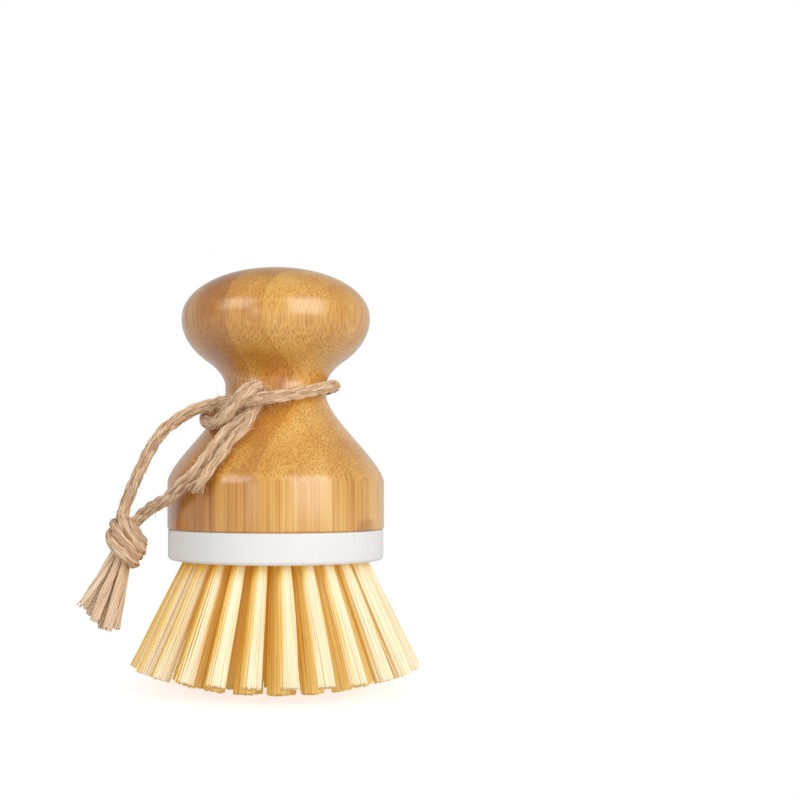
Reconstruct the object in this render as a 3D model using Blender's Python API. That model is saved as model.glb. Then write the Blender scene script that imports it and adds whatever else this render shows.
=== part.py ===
"""Palm dish brush: a turned laminated-bamboo knob on a round white bristle block,
with leaning tufts of cream bristle set in rings and a jute loop tied round the neck.

Lengths are in metres, +Z is up and the Z axis is the axis of the turned parts. The
brush stands on its bristle tips at z = 0. The front of the brush faces -Y.
"""

import math

import bmesh
import bpy
from mathutils import Matrix, Vector

MM = 0.001

# Working gaps
FIT_GAP = 0.3 * MM            # between pieces that touch or seat in each other
MERGE_DISTANCE = 0.001 * MM   # points nearer than this are one point
CUT_OVERRUN = 2.0 * MM        # how far a cutter runs past the face it cuts

# Bristle block: the white moulded disc under the handle
BLOCK_RADIUS = 25.8 * MM
BLOCK_FACE_HEIGHT = 30.9 * MM     # underside of the block above the bristle tips
BLOCK_THICKNESS = 7.0 * MM
BLOCK_CORNER_RADIUS = 1.1 * MM    # rounded lower edge
BLOCK_TOP_CHAMFER = 0.3 * MM
SPIGOT_RADIUS = 7.5 * MM          # boss that locates the block in the handle
SPIGOT_HEIGHT = 8.0 * MM
SPIGOT_CHAMFER = 0.6 * MM

# Handle: turned from a laminated bamboo blank
HANDLE_RADIUS = 25.95 * MM        # straight base, a little wider than the block
HANDLE_BASE_HEIGHT = 10.8 * MM
HANDLE_EDGE_RADIUS = 0.5 * MM
FLARE_HEIGHT = 21.5 * MM          # from the shoulder up to the neck
FLARE_TOP_PULL_SHARE = 0.274      # of the flare height: how long it stays slim
FLARE_FOOT_PULL_SHARE = 0.237     # of the flare height: how round the shoulder is
NECK_RADIUS = 12.1 * MM
NECK_HEIGHT = 1.6 * MM
KNOB_RADIUS = 22.6 * MM
KNOB_UNDERSIDE_HEIGHT = 16.2 * MM     # from the neck up to the widest ring
KNOB_UNDERSIDE_DEPTH = 14.6 * MM      # half height of the ellipse it follows
KNOB_JOIN_RADIUS = 16.6 * MM          # where the hollow to the neck begins
KNOB_DOME_HEIGHT = 12.05 * MM
KNOB_DOME_POWER = 2.06                # 2 is an ellipse, more is squarer
BORE_CHAMFER = 0.5 * MM

# Bristle tufts: filaments folded in two and set in blind holes
TUFT_ROOT_RADIUS = 1.5 * MM
TUFT_TIP_RADIUS = 2.3 * MM         # of the middle tuft at the trimmed ends
TUFT_STRANDS = 8
STRAND_GAP = 0.32 * MM            # between neighbouring strands at the root
ROOT_RECESS = 0.9 * MM            # the strands part this far inside the hole
HOLE_DEPTH = 5.2 * MM
FAN_APEX_HEIGHT = 42.9 * MM       # all tufts lean from this point above the face
OUTER_RING_INSET = 5.5 * MM       # from the block's edge to the outer tufts' axes
MIDDLE_RING_SHARE = 0.667         # of the outer ring's radius
INNER_RING_SHARE = 0.3
OUTER_TUFTS = 25
MIDDLE_TUFTS = 18
INNER_TUFTS = 8
OUTER_FIRST_ANGLE = math.radians(5.0)     # of a ring's first tuft, from the front
MIDDLE_FIRST_ANGLE = math.radians(1.5)
INNER_FIRST_ANGLE = math.radians(12.0)

# Trim of the bristle ends: a shallow dome with a flat in its middle to stand on
TRIM_RADIUS = 34.6 * MM
TRIM_RISE = 6.4 * MM
TRIM_POWER = 2.1                  # 2 is a paraboloid, more is flatter in the middle
TRIM_FLAT_CUT = 0.5 * MM

# Jute loop
TWINE_DIAMETER = 3.0 * MM
TAIL_DIAMETER = 2.5 * MM
LEAST_TWINE_GAP = 0.4 * MM
KNOT_LENGTH = 12.0 * MM           # along the wraps
KNOT_WIDTH = 8.8 * MM             # across them
KNOT_DEPTH = 9.6 * MM             # front to back
KNOT_RIDGE_SHARE = 0.05
KNOT_WRAPS = 4
TWINE_END_RUN = 1.5 * MM          # straight run where a tube meets the next
YARN_ROOT_RADIUS = 0.85 * MM
YARN_TIP_RADIUS = 1.05 * MM

# Facets: steps round the turned pieces, and along the curves of their outlines
HANDLE_STEPS = 48
BLOCK_STEPS = 48
KNOT_STEPS = 16
DOME_STEPS = 9
UNDERSIDE_STEPS = 6
NECK_HOLLOW_STEPS = 4
FLARE_STEPS = 10
HANDLE_EDGE_STEPS = 2
BLOCK_CORNER_STEPS = 4
RIDGE_STEPS = 6               # along each wrap of the knot
YARN_SIDES = 6
TRIM_PASSES = 12              # to find where a strand meets the trim

# Tubes of the twine: rounding of their section, and points between those of the route
TURN_RESOLUTION = 1
STRAND_RESOLUTION = 2
TURN_SPAN_STEPS = 2
GAP_TEST_STEPS = 8
NEIGHBOUR_DIAMETERS = 2.5     # stretches nearer than this along the tube are neighbours

# Heights worked out from the sizes above
BLOCK_TOP = BLOCK_FACE_HEIGHT + BLOCK_THICKNESS
HANDLE_FOOT = BLOCK_TOP + FIT_GAP
SHOULDER_HEIGHT = HANDLE_FOOT + HANDLE_BASE_HEIGHT
NECK_FOOT = SHOULDER_HEIGHT + FLARE_HEIGHT
NECK_TOP = NECK_FOOT + NECK_HEIGHT
KNOB_EQUATOR = NECK_TOP + KNOB_UNDERSIDE_HEIGHT
HANDLE_TOP = KNOB_EQUATOR + KNOB_DOME_HEIGHT
FAN_APEX = Vector((0, 0, BLOCK_FACE_HEIGHT + FAN_APEX_HEIGHT))

# Route of the twine, from the end knot up to the neck, once round the neck through its
# half knot, and down again to the end knot. The strands are (x, y, z) in mm. The turn
# is in degrees from the front, to the right, then radius and height in mm: it crosses
# the front, goes round the back and comes over and under itself.
UPPER_STRAND_ROUTE = (
    (-35.8, -7.1, 42.2), (-34.6, -7.5, 45.6), (-33.2, -7.8, 49.0), (-31.4, -8.0, 52.9),
    (-29.2, -8.1, 57.2), (-26.6, -8.2, 60.9), (-23.2, -8.4, 63.9), (-19.6, -8.5, 66.2),
)
NECK_TURN_ROUTE = (
    (-63, 17.9, 67.3), (-50, 18.0, 67.7), (-36, 18.6, 67.9), (-24, 18.8, 68.0),
    (-12, 18.5, 68.3), (2, 16.9, 68.8), (20, 15.3, 69.7), (42, 14.4, 70.8),
    (65, 14.1, 71.8), (90, 14.1, 72.3), (115, 14.1, 72.1), (140, 14.1, 71.3),
    (165, 14.3, 70.3), (190, 14.6, 69.1), (215, 15.1, 67.9), (240, 15.8, 66.7),
    (262, 16.0, 66.2), (276, 16.6, 65.1), (290, 17.7, 63.9), (303, 19.1, 63.0),
    (314, 20.7, 62.8), (323, 22.4, 63.8), (329.5, 23.0, 65.5), (334.5, 22.8, 67.7),
    (339.5, 21.7, 70.1), (343.5, 19.3, 71.7), (345.5, 16.7, 71.9), (346.0, 14.9, 70.1),
    (344.5, 15.0, 67.6), (340.5, 16.6, 65.2), (334.5, 17.8, 63.6), (329, 18.8, 62.3),
    (325.5, 20.1, 61.0),
)
LOWER_STRAND_ROUTE = (
    (-13.4, -18.6, 57.9), (-15.3, -20.0, 55.2), (-17.6, -20.8, 52.0), (-21.0, -19.4, 48.7),
    (-24.7, -15.9, 45.5), (-28.4, -11.7, 43.6), (-32.2, -7.6, 40.7),
)
TAIL_ROUTE = (
    (-6.8, -18.9, 61.8), (-9.0, -19.2, 59.8), (-11.0, -20.6, 57.1), (-13.2, -22.1, 54.0),
    (-15.4, -23.4, 51.2), (-16.9, -23.2, 49.2), (-18.2, -22.2, 47.2),
)
KNOT_CENTRE = (-34.9, -7.0, 36.1)
KNOT_AXIS = (1.0, 0.0, 1.0)      # the wraps lie square to this line
YARN_ENDS = (
    ((-37.0, -7.5, 33.9), (-45.4, -7.6, 19.9)),
    ((-36.6, -6.4, 33.2), (-43.9, -6.2, 18.0)),
    ((-36.1, -7.7, 32.7), (-42.6, -8.2, 16.8)),
    ((-35.6, -6.5, 32.2), (-41.1, -6.3, 14.8)),
    ((-35.2, -7.7, 31.8), (-39.5, -8.1, 14.6)),
    ((-34.7, -6.7, 31.4), (-37.9, -6.8, 14.8)),
    ((-37.0, -9.8, 34.2), (-32.8, -8.4, 30.0)),
)


def clear_scene():
    for item in list(bpy.data.objects):
        bpy.data.objects.remove(item, do_unlink=True)


def make_material(name, colour, roughness):
    material = bpy.data.materials.new(name)
    material.use_nodes = True
    shader = material.node_tree.nodes["Principled BSDF"]
    shader.inputs["Base Color"].default_value = (*colour, 1.0)
    shader.inputs["Roughness"].default_value = roughness
    shader.inputs["Metallic"].default_value = 0.0
    material.diffuse_color = (*colour, 1.0)
    return material


def add_object(name, data, material=None):
    item = bpy.data.objects.new(name, data)
    bpy.context.collection.objects.link(item)
    if material:
        data.materials.append(material)
    return item


def mesh_object(name, bm, material=None, sharp_angle=math.radians(35)):
    """Store a bmesh as an object, smooth but for its real edges."""
    mesh = bpy.data.meshes.new(name)
    bm.to_mesh(mesh)
    bm.free()
    mesh.shade_smooth()
    mesh.set_sharp_from_angle(angle=sharp_angle)
    return add_object(name, mesh, material)


def hide_helper(item):
    item.hide_render = True
    item.display_type = "WIRE"


def combine(target, tool, operation):
    """Join a helper to a piece, or cut it out of the piece."""
    modifier = target.modifiers.new(f"{operation.lower()}_{tool.name}", "BOOLEAN")
    modifier.operation = operation
    modifier.object = tool
    modifier.solver = "EXACT"
    hide_helper(tool)


# Outlines, as lists of (radius, height) that run from the top down the outer side

def quadratic_curve(start, corner, end, steps):
    """Points after the start of a curve that leaves and arrives along the corner."""
    points = []
    for step in range(1, steps + 1):
        t = step / steps
        points.append(tuple(
            (1 - t) ** 2 * a + 2 * t * (1 - t) * b + t ** 2 * c
            for a, b, c in zip(start, corner, end)))
    return points


def cubic_curve(start, pull_a, pull_b, end, steps):
    points = []
    for step in range(1, steps + 1):
        t = step / steps
        points.append(tuple(
            (1 - t) ** 3 * a + 3 * t * (1 - t) ** 2 * b + 3 * t ** 2 * (1 - t) * c + t ** 3 * d
            for a, b, c, d in zip(start, pull_a, pull_b, end)))
    return points


def dome_outline(steps):
    """The flattened top of the knob, from the axis out to its widest ring."""
    points = []
    for step in range(steps + 1):
        angle = math.pi / 2 * step / steps
        radius = KNOB_RADIUS * math.sin(angle)
        share = (1 - math.sin(angle) ** KNOB_DOME_POWER) if step < steps else 0
        points.append((radius, KNOB_EQUATOR + KNOB_DOME_HEIGHT * share ** (1 / KNOB_DOME_POWER)))
    return points


def underside_outline(steps):
    """The underside of the knob down to the join, and the slope where it ends."""
    end_angle = math.acos(KNOB_JOIN_RADIUS / KNOB_RADIUS)
    points = []
    for step in range(1, steps + 1):
        angle = end_angle * step / steps
        points.append((
            KNOB_RADIUS * math.cos(angle),
            KNOB_EQUATOR - KNOB_UNDERSIDE_DEPTH * math.sin(angle)))
    slope = KNOB_UNDERSIDE_DEPTH / KNOB_RADIUS / math.tan(end_angle)
    return points, slope


def handle_outline():
    points = dome_outline(DOME_STEPS)
    underside, slope = underside_outline(UNDERSIDE_STEPS)
    points += underside
    join = points[-1]
    corner = (NECK_RADIUS, join[1] - (join[0] - NECK_RADIUS) * slope)
    points += quadratic_curve(join, corner, (NECK_RADIUS, NECK_TOP), NECK_HOLLOW_STEPS)
    points += [(NECK_RADIUS, NECK_FOOT)]
    points += cubic_curve(
        (NECK_RADIUS, NECK_FOOT),
        (NECK_RADIUS, NECK_FOOT - FLARE_TOP_PULL_SHARE * FLARE_HEIGHT),
        (HANDLE_RADIUS, SHOULDER_HEIGHT + FLARE_FOOT_PULL_SHARE * FLARE_HEIGHT),
        (HANDLE_RADIUS, SHOULDER_HEIGHT), FLARE_STEPS)
    edge_start = (HANDLE_RADIUS, HANDLE_FOOT + HANDLE_EDGE_RADIUS)
    edge_end = (HANDLE_RADIUS - HANDLE_EDGE_RADIUS, HANDLE_FOOT)
    points += [edge_start]
    points += quadratic_curve(
        edge_start, (HANDLE_RADIUS, HANDLE_FOOT), edge_end, HANDLE_EDGE_STEPS)
    bore_radius = SPIGOT_RADIUS + FIT_GAP
    bore_roof = BLOCK_TOP + SPIGOT_HEIGHT + FIT_GAP
    points += [
        (bore_radius + BORE_CHAMFER, HANDLE_FOOT),
        (bore_radius, HANDLE_FOOT + BORE_CHAMFER),
        (bore_radius, bore_roof),
        (0, bore_roof),
    ]
    return points


def block_outline():
    spigot_top = BLOCK_TOP + SPIGOT_HEIGHT
    corner_start = (BLOCK_RADIUS, BLOCK_FACE_HEIGHT + BLOCK_CORNER_RADIUS)
    corner_end = (BLOCK_RADIUS - BLOCK_CORNER_RADIUS, BLOCK_FACE_HEIGHT)
    points = [
        (0, spigot_top),
        (SPIGOT_RADIUS - SPIGOT_CHAMFER, spigot_top),
        (SPIGOT_RADIUS, spigot_top - SPIGOT_CHAMFER),
        (SPIGOT_RADIUS, BLOCK_TOP),
        (BLOCK_RADIUS - BLOCK_TOP_CHAMFER, BLOCK_TOP),
        (BLOCK_RADIUS, BLOCK_TOP - BLOCK_TOP_CHAMFER),
        corner_start,
    ]
    points += quadratic_curve(
        corner_start, (BLOCK_RADIUS, BLOCK_FACE_HEIGHT), corner_end, BLOCK_CORNER_STEPS)
    points += [(0, BLOCK_FACE_HEIGHT)]
    return points


def knot_outline():
    """A ball of radius 1 whose wraps stand up as ridges."""
    steps = KNOT_WRAPS * RIDGE_STEPS
    points = []
    for step in range(steps + 1):
        angle = math.pi * step / steps
        ridge = 1 + KNOT_RIDGE_SHARE * math.cos(2 * KNOT_WRAPS * angle)
        radius = math.sin(angle) if 0 < step < steps else 0
        points.append((ridge * radius, ridge * math.cos(angle)))
    return points


def turned_mesh(outline, steps):
    """Turn an outline round the Z axis."""
    bm = bmesh.new()
    verts = [bm.verts.new((radius, 0, height)) for radius, height in outline]
    edges = [bm.edges.new(pair) for pair in zip(verts, verts[1:])]
    bmesh.ops.spin(
        bm, geom=verts + edges, cent=(0, 0, 0), axis=(0, 0, 1),
        angle=math.tau, steps=steps, use_merge=True)
    bmesh.ops.remove_doubles(bm, verts=bm.verts, dist=MERGE_DISTANCE)
    bmesh.ops.recalc_face_normals(bm, faces=bm.faces)
    return bm


# Bristles

def tuft_seats():
    """Name, place on the block's face and outward lean of every tuft."""
    outer_radius = BLOCK_RADIUS - OUTER_RING_INSET
    rings = (
        ("outer", OUTER_TUFTS, outer_radius, OUTER_FIRST_ANGLE),
        ("middle", MIDDLE_TUFTS, outer_radius * MIDDLE_RING_SHARE, MIDDLE_FIRST_ANGLE),
        ("inner", INNER_TUFTS, outer_radius * INNER_RING_SHARE, INNER_FIRST_ANGLE),
    )
    seats = []
    for ring, count, radius, first_angle in rings:
        for index in range(count):
            angle = first_angle + math.tau * index / count
            seat = Vector((
                radius * math.sin(angle), -radius * math.cos(angle), BLOCK_FACE_HEIGHT))
            seats.append((f"tuft_{ring}_{index + 1:02d}", seat))
    seats.append(("tuft_centre", Vector((0, 0, BLOCK_FACE_HEIGHT))))
    return [(name, seat, (seat - FAN_APEX).normalized()) for name, seat in seats]


def seat_matrix(seat, lean):
    """Frame of a tuft: its origin on the block's face and +Z along the bristles."""
    return Matrix.Translation(seat) @ lean.to_track_quat("Z", "Y").to_matrix().to_4x4()


def trim_height(point):
    """Height of the trimmed bristle ends above the standing surface."""
    dome = TRIM_RISE * (point.xy.length / TRIM_RADIUS) ** TRIM_POWER - TRIM_FLAT_CUT
    return max(dome, 0)


def trimmed(start, direction):
    """Where a line from start meets the trimmed ends."""
    point = start.copy()
    for _ in range(TRIM_PASSES):
        reach = (start.z - trim_height(point)) / -direction.z
        point = start + reach * direction
    if trim_height(point) == 0:
        point.z = 0
    return point


def tuft_mesh(frame):
    """A tuft: its bound root, and strands that fan out from it to the trimmed ends."""
    root_length = HOLE_DEPTH - FIT_GAP - ROOT_RECESS
    root_middle = -ROOT_RECESS - root_length / 2
    bm = bmesh.new()
    bmesh.ops.create_cone(
        bm, cap_ends=True, segments=TUFT_STRANDS, radius1=TUFT_ROOT_RADIUS,
        radius2=TUFT_ROOT_RADIUS, depth=root_length,
        matrix=Matrix.Translation((0, 0, root_middle)))
    mouth = max(bm.faces, key=lambda face: face.calc_center_median().z)
    sectors = bmesh.ops.poke(bm, faces=[mouth])["faces"]
    bmesh.ops.inset_individual(
        bm, faces=sectors, thickness=STRAND_GAP / 2, use_even_offset=True)
    strands = bmesh.ops.extrude_discrete_faces(bm, faces=sectors)["faces"]
    tips = {vert for face in strands for vert in face.verts}
    strand_circle = max(vert.co.xy.length for vert in tips)
    length = BLOCK_FACE_HEIGHT + ROOT_RECESS
    spread = (TUFT_TIP_RADIUS / strand_circle - 1) / length
    lines = {vert: Vector((vert.co.x * spread, vert.co.y * spread, 1)) for vert in tips}
    bm.transform(frame)
    turn = frame.to_3x3()
    for vert in tips:
        vert.co = trimmed(vert.co, turn @ lines[vert])
    return bm


def hole_cutters(seats):
    """One tool that holds the blind holes of all the tufts."""
    bm = bmesh.new()
    length = HOLE_DEPTH + CUT_OVERRUN
    for _, seat, lean in seats:
        shift = Matrix.Translation((0, 0, CUT_OVERRUN - length / 2))
        bmesh.ops.create_cone(
            bm, cap_ends=True, segments=TUFT_STRANDS,
            radius1=TUFT_ROOT_RADIUS + FIT_GAP, radius2=TUFT_ROOT_RADIUS + FIT_GAP,
            depth=length, matrix=seat_matrix(seat, lean) @ shift)
    return mesh_object("hole_cutters", bm)


# Twine

def smooth_curve(points, span_steps):
    """A centripetal Catmull-Rom curve through the points of a route."""
    first = points[0] * 2 - points[1]
    last = points[-1] * 2 - points[-2]
    knots = [first, *points, last]
    curve = []
    for a, b, c, d in zip(knots, knots[1:], knots[2:], knots[3:]):
        t1 = math.sqrt((b - a).length)
        t2 = t1 + math.sqrt((c - b).length)
        t3 = t2 + math.sqrt((d - c).length)
        for step in range(span_steps):
            t = t1 + (t2 - t1) * step / span_steps
            ab = a.lerp(b, t / t1)
            bc = b.lerp(c, (t - t1) / (t2 - t1))
            cd = c.lerp(d, (t - t2) / (t3 - t2))
            abc = ab.lerp(bc, t / t2)
            bcd = bc.lerp(cd, (t - t1) / (t3 - t1))
            curve.append(abc.lerp(bcd, (t - t1) / (t2 - t1)))
    curve.append(points[-1])
    return curve


def twine_route():
    """Points of the whole loop, and how many of them each strand has."""
    upper = route_points(UPPER_STRAND_ROUTE)
    lower = route_points(LOWER_STRAND_ROUTE)
    turn = []
    for degrees, radius, height in NECK_TURN_ROUTE:
        angle = math.radians(degrees)
        turn.append(Vector((radius * math.sin(angle), -radius * math.cos(angle), height)) * MM)
    return upper + turn + lower, len(upper), len(lower)


def route_points(route):
    return [Vector(point) * MM for point in route]


def cut_ends(curve, index):
    """Square ends, a gap apart, of the tubes before and after a point of the curve."""
    along = (curve[index + 1] - curve[index - 1]).normalized()
    face = along * FIT_GAP / 2
    run = face + along * TWINE_END_RUN
    place = curve[index]
    return [place - run, place - face], [place + face, place + run]


def least_gap(points, diameter):
    """Least clear distance between stretches of one tube that aren't neighbours."""
    reach = [0]
    for a, b in zip(points, points[1:]):
        reach.append(reach[-1] + (b - a).length)
    near = NEIGHBOUR_DIAMETERS * diameter
    gaps = [
        (points[i] - points[j]).length - diameter
        for i in range(len(points)) for j in range(i + 1, len(points))
        if reach[j] - reach[i] > near]
    return min(gaps)


def twine_tube(name, points, diameter, resolution, pivot, material):
    """A round tube along the points, held by the pivot that it turns about."""
    data = bpy.data.curves.new(name, "CURVE")
    data.dimensions = "3D"
    data.fill_mode = "FULL"
    data.bevel_depth = diameter / 2
    data.bevel_resolution = resolution
    data.use_fill_caps = True
    data.resolution_u = 1
    spline = data.splines.new("POLY")
    spline.points.add(len(points) - 1)
    for slot, point in zip(spline.points, points):
        slot.co = (*(point - pivot.location), 1)
    item = add_object(name, data, material)
    item.parent = pivot
    return item


def yarn_mesh(root, tip):
    """A loosened yarn end, a little thicker where its fibres spread."""
    line = tip - root
    bm = bmesh.new()
    bmesh.ops.create_cone(
        bm, cap_ends=True, segments=YARN_SIDES, radius1=YARN_ROOT_RADIUS,
        radius2=YARN_TIP_RADIUS, depth=line.length,
        matrix=Matrix.Translation((root + tip) / 2)
        @ line.to_track_quat("Z", "Y").to_matrix().to_4x4())
    return bm


def build_handle(material):
    return mesh_object("handle", turned_mesh(handle_outline(), HANDLE_STEPS), material)


def build_block(seats, material):
    block = mesh_object("bristle_block", turned_mesh(block_outline(), BLOCK_STEPS), material)
    combine(block, hole_cutters(seats), "DIFFERENCE")
    return block


def build_tufts(seats, outer_material, inner_material):
    for name, seat, lean in seats:
        material = outer_material if "outer" in name else inner_material
        mesh_object(name, tuft_mesh(seat_matrix(seat, lean)), material)


def build_end_knot(pivot, material):
    """The overhand knot that joins both strands, with its frayed yarn ends."""
    bm = turned_mesh(knot_outline(), KNOT_STEPS)
    centre = Vector(KNOT_CENTRE) * MM
    size = Matrix.Diagonal((KNOT_DEPTH / 2, KNOT_LENGTH / 2, KNOT_WIDTH / 2, 1))
    bm.transform(
        Matrix.Translation(centre - pivot.location)
        @ Vector(KNOT_AXIS).to_track_quat("Z", "Y").to_matrix().to_4x4() @ size)
    knot = mesh_object("twine_end_knot", bm, material)
    knot.parent = pivot
    for number, (root, tip) in enumerate(YARN_ENDS, 1):
        yarn = mesh_object(f"yarn_end_{number}", yarn_mesh(Vector(root) * MM, Vector(tip) * MM))
        combine(knot, yarn, "UNION")
    return knot


def build_twine(material):
    pivot = bpy.data.objects.new("twine_pivot", None)
    pivot.location = (0, 0, (NECK_FOOT + NECK_TOP) / 2)
    bpy.context.collection.objects.link(pivot)

    route, upper_count, lower_count = twine_route()
    gap = least_gap(
        smooth_curve(route[upper_count:-lower_count], GAP_TEST_STEPS), TWINE_DIAMETER)
    print(f"least gap of the neck turn to itself: {gap / MM:.2f} mm, "
          f"wanted {LEAST_TWINE_GAP / MM:.2f} mm or more")

    curve = smooth_curve(route, TURN_SPAN_STEPS)
    first = TURN_SPAN_STEPS * upper_count
    last = TURN_SPAN_STEPS * (len(route) - lower_count - 1)
    upper_end, turn_start = cut_ends(curve, first)
    turn_end, lower_start = cut_ends(curve, last)
    upper = curve[:first:TURN_SPAN_STEPS] + upper_end
    turn = turn_start + curve[first + TURN_SPAN_STEPS:last - 1] + turn_end
    lower = lower_start + curve[last + TURN_SPAN_STEPS:]
    twine_tube("twine_neck_turn", turn, TWINE_DIAMETER, TURN_RESOLUTION, pivot, material)
    for name, points, diameter in (
            ("twine_upper_strand", upper, TWINE_DIAMETER),
            ("twine_lower_strand", lower, TWINE_DIAMETER),
            ("twine_tail", route_points(TAIL_ROUTE), TAIL_DIAMETER)):
        twine_tube(name, points, diameter, STRAND_RESOLUTION, pivot, material)
    build_end_knot(pivot, material)


def build():
    clear_scene()
    bamboo = make_material("bamboo", (0.68, 0.36, 0.11), 0.35)
    white_plastic = make_material("white_plastic", (0.86, 0.86, 0.85), 0.4)
    cream_bristle = make_material("cream_bristle", (0.88, 0.76, 0.55), 0.45)
    golden_bristle = make_material("golden_bristle", (0.78, 0.52, 0.2), 0.45)
    jute = make_material("jute", (0.57, 0.38, 0.22), 0.9)

    seats = tuft_seats()
    build_handle(bamboo)
    build_block(seats, white_plastic)
    build_tufts(seats, cream_bristle, golden_bristle)
    build_twine(jute)
    strands = len(seats) * TUFT_STRANDS
    print(f"{len(seats)} tufts, {strands} strands, height {HANDLE_TOP / MM:.1f} mm")


build()
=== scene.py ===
import math
from functools import partial, reduce

import bmesh
import bpy
import numpy as np
from mathutils import Matrix, Vector


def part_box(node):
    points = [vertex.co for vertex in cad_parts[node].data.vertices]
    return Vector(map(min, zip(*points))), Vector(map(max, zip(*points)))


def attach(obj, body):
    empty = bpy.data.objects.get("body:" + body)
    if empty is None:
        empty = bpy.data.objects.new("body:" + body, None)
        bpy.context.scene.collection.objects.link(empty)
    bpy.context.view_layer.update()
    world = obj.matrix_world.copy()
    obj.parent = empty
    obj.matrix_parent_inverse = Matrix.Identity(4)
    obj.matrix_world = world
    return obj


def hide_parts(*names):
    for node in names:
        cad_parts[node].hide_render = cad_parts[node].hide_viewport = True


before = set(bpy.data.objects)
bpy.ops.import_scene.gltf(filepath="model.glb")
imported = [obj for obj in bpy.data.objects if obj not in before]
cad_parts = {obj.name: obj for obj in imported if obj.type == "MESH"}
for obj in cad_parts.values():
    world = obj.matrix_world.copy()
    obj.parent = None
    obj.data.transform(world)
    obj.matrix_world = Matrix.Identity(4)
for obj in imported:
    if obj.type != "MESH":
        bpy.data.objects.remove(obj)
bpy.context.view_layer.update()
MM = 0.001
print("nodes in the frame:", len(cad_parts))

# %% [markdown]
# The camera comes first. The handle's round shoulder shows as a straight line in the
# photograph, and the rims above and below it bow opposite ways, so the eye is level with
# the shoulder. The brush stands left of and below the middle, yet its upright edges stay
# parallel. That takes a shifted lens, since a turned camera would make them lean.
# %% Camera
PHOTO_SIZE = 800  # pixels on a side
AXIS_COLUMN = 275.7  # where the brush's axis stands in the photograph
EYE_ROW = 477.0
EYE_HEIGHT = 50.5 * MM
EYE_DISTANCE = 292.9 * MM  # from the brush's axis
FOCAL_PIXELS = 1218.0
SENSOR_WIDTH = 36.0  # in the millimetres that Blender gives a lens in


def add_object(name, data):
    """An object in the scene, at the origin."""
    item = bpy.data.objects.new(name, data)
    bpy.context.scene.collection.objects.link(item)
    return item


camera_data = bpy.data.cameras.new("photo_camera")
camera_data.sensor_width = SENSOR_WIDTH
camera_data.lens = SENSOR_WIDTH * FOCAL_PIXELS / PHOTO_SIZE
camera_data.shift_x = 0.5 - AXIS_COLUMN / PHOTO_SIZE
camera_data.shift_y = EYE_ROW / PHOTO_SIZE - 0.5
camera_data.clip_start = 1 * MM
camera = add_object("photo_camera", camera_data)
camera.location = (0, -EYE_DISTANCE, EYE_HEIGHT)
camera.rotation_euler = (math.radians(90), 0, 0)
bpy.context.scene.camera = camera
print(f"lens {camera_data.lens:.1f} on a {SENSOR_WIDTH:.0f} sensor")

# %% [markdown]
# Materials are node trees. A few short helpers keep them readable. A node that reads other
# nodes' sockets goes into their tree by itself.
# %% Node helpers
def linear(red, green, blue):
    """A screen's colour, 0 to 255, in the linear values that shaders use."""
    shares = [value / 255 for value in (red, green, blue)]
    return [c / 12.92 if c <= 0.04045 else ((c + 0.055) / 1.055) ** 2.4 for c in shares]


def is_socket(value):
    return isinstance(value, bpy.types.NodeSocket)


def add_node(tree, kind, inputs=None, **settings):
    """A node's outputs. An input is a value, or a socket to link from."""
    node = tree.nodes.new("ShaderNode" + kind)
    for name, value in settings.items():
        setattr(node, name, value)
    for name, value in (inputs or {}).items():
        if is_socket(value):
            tree.links.new(value, node.inputs[name])
        else:
            node.inputs[name].default_value = value
    return node.outputs


def after(kind, inputs, **settings):
    """A node in the tree of the sockets that it reads."""
    tree = next(value.id_data for value in inputs.values() if is_socket(value))
    return add_node(tree, kind, inputs, **settings)


def link(socket, shader, name):
    socket.id_data.links.new(socket, shader.inputs[name])


def new_material(name, **values):
    """A Principled material. A name such as coat_weight sets the socket Coat Weight."""
    material = bpy.data.materials.new(name)
    material.use_nodes = True
    shader = material.node_tree.nodes["Principled BSDF"]
    for key, value in values.items():
        socket = key.replace("_", " ").title().replace("Ior", "IOR")
        shader.inputs[socket].default_value = value
    return material, material.node_tree, shader


def ramp(factor, stops):
    """A colour ramp. Each stop is a position and a linear colour."""
    output = after("ValToRGB", {"Fac": factor})["Color"]
    elements = output.node.color_ramp.elements
    while len(elements) < len(stops):
        elements.new(1.0)
    for element, (position, colour) in zip(elements, stops):
        element.position = position
        element.color = (*colour, 1.0)
    return output


def mix_colour(factor, first, second):
    """A mix of two colours, each of them a socket or three linear values."""
    first, second = (colour if is_socket(colour) else (*colour, 1.0)
                     for colour in (first, second))
    return after("Mix", {"Factor": factor, 6: first, 7: second}, data_type="RGBA")[2]


# %% [markdown]
# Patterns are sums and products of a few textures. These helpers write that arithmetic in
# one line each. Those that come from chain take any count of sockets and numbers.
# %% Pattern helpers
def math_node(operation, first, second=0.0, clamp=False):
    return after("Math", {0: first, 1: second}, operation=operation, use_clamp=clamp)[0]


def chain(operation):
    """A function that joins its values by one operation, from left to right."""
    return lambda *values: reduce(partial(math_node, operation), values)


plus, minus, times = chain("ADD"), chain("SUBTRACT"), chain("MULTIPLY")
below, above, larger = chain("LESS_THAN"), chain("GREATER_THAN"), chain("MAXIMUM")


def vector_math(operation, *values):
    """Arithmetic on vectors. LENGTH gives a number."""
    outputs = after("VectorMath", dict(enumerate(values)), operation=operation)
    return outputs["Value" if operation == "LENGTH" else "Vector"]


def mix_value(factor, first, second):
    return after("Mix", {"Factor": factor, "A": first, "B": second})["Result"]


def remap(value, start, end, first, last, kind="LINEAR"):
    """Carries the range from start to end over to the one from first to last."""
    return after("MapRange", {
        "Value": value, "From Min": start, "From Max": end, "To Min": first,
        "To Max": last}, interpolation_type=kind)["Result"]


def coordinates(tree, kind="Object"):
    return add_node(tree, "TexCoord")[kind]


def attribute(tree, name, kind="Fac"):
    return add_node(tree, "Attribute", attribute_name=name)[kind]


def axes(vector):
    return after("SeparateXYZ", {"Vector": vector})


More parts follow.
